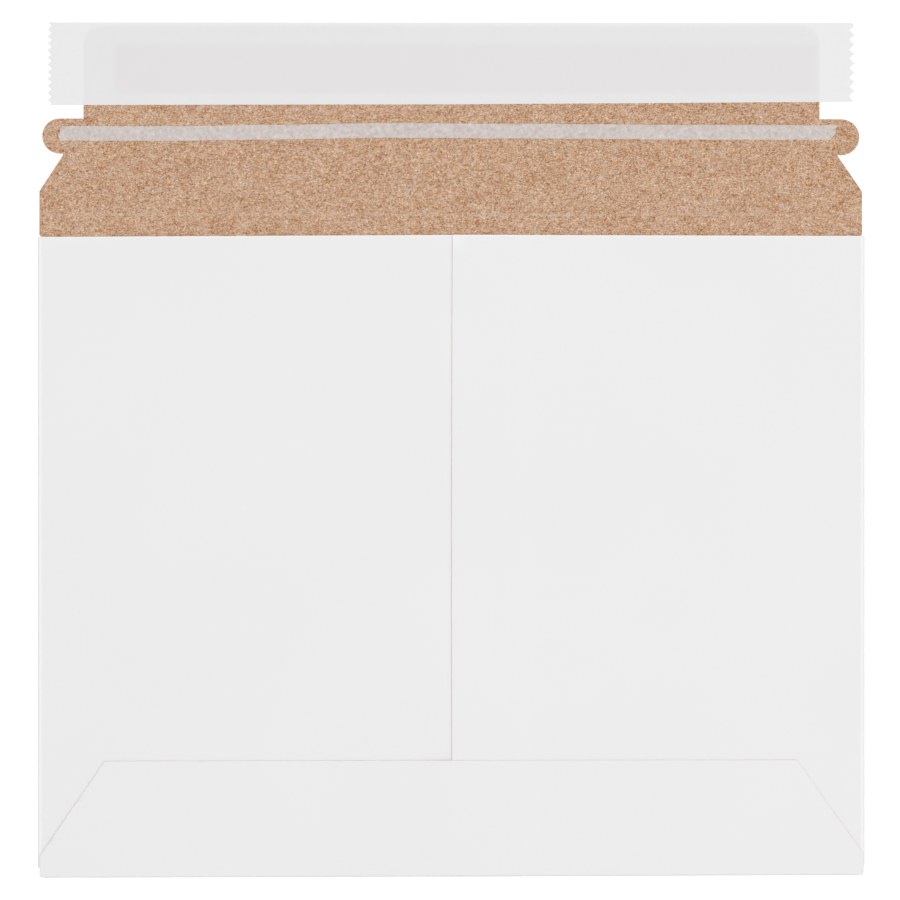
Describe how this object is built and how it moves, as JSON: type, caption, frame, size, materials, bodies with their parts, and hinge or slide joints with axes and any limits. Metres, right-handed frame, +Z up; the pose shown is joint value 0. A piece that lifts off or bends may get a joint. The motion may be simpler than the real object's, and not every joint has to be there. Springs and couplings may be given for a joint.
{
  "type": "rigid mailer",
  "caption": "Flat rigid mailer folded from white board with a brown inside, its self-seal flap open, with a tear tape and a release liner over the adhesive.",
  "frame": {"origin": "middle of the front panel's outer face, halfway between the bottom fold and the scored line, on the surface that the mailer lies on", "axes": "+X along the wide side, +Y from the bottom fold towards the open mouth and the flap, +Z up from the front panel to the seam side"},
  "size_m": [0.2922, 0.3021, 0.0035],
  "materials": {
    "white_board": "white clay-coated face, smooth and slightly satin",
    "brown_board": "uncoated recycled brown face with visible fibres, matte",
    "tear_tape": "thin translucent grey-white filament tape",
    "adhesive": "clear pressure-sensitive adhesive film, glossy",
    "liner": "smooth white release paper, slightly see-through",
    "glue": "dried cream-coloured glue"
  },
  "bodies": {
    "pack": {"mailer_body": "white_board", "seam_glue": "glue", "bottom_flap_glue_left": "glue", "bottom_flap_glue_right": "glue"},
    "flap": {"closure_flap": "brown_board", "tear_tape": "tear_tape", "adhesive_strip": "adhesive", "release_liner": "liner"}
  },
  "joints": [
    {"name": "flap_fold", "type": "hinge", "parent": "pack", "child": "flap", "pos_m": [0, 0.1171, 0.00192], "axis": [1, 0, 0], "range_deg": [0, 179.5]}
  ]
}
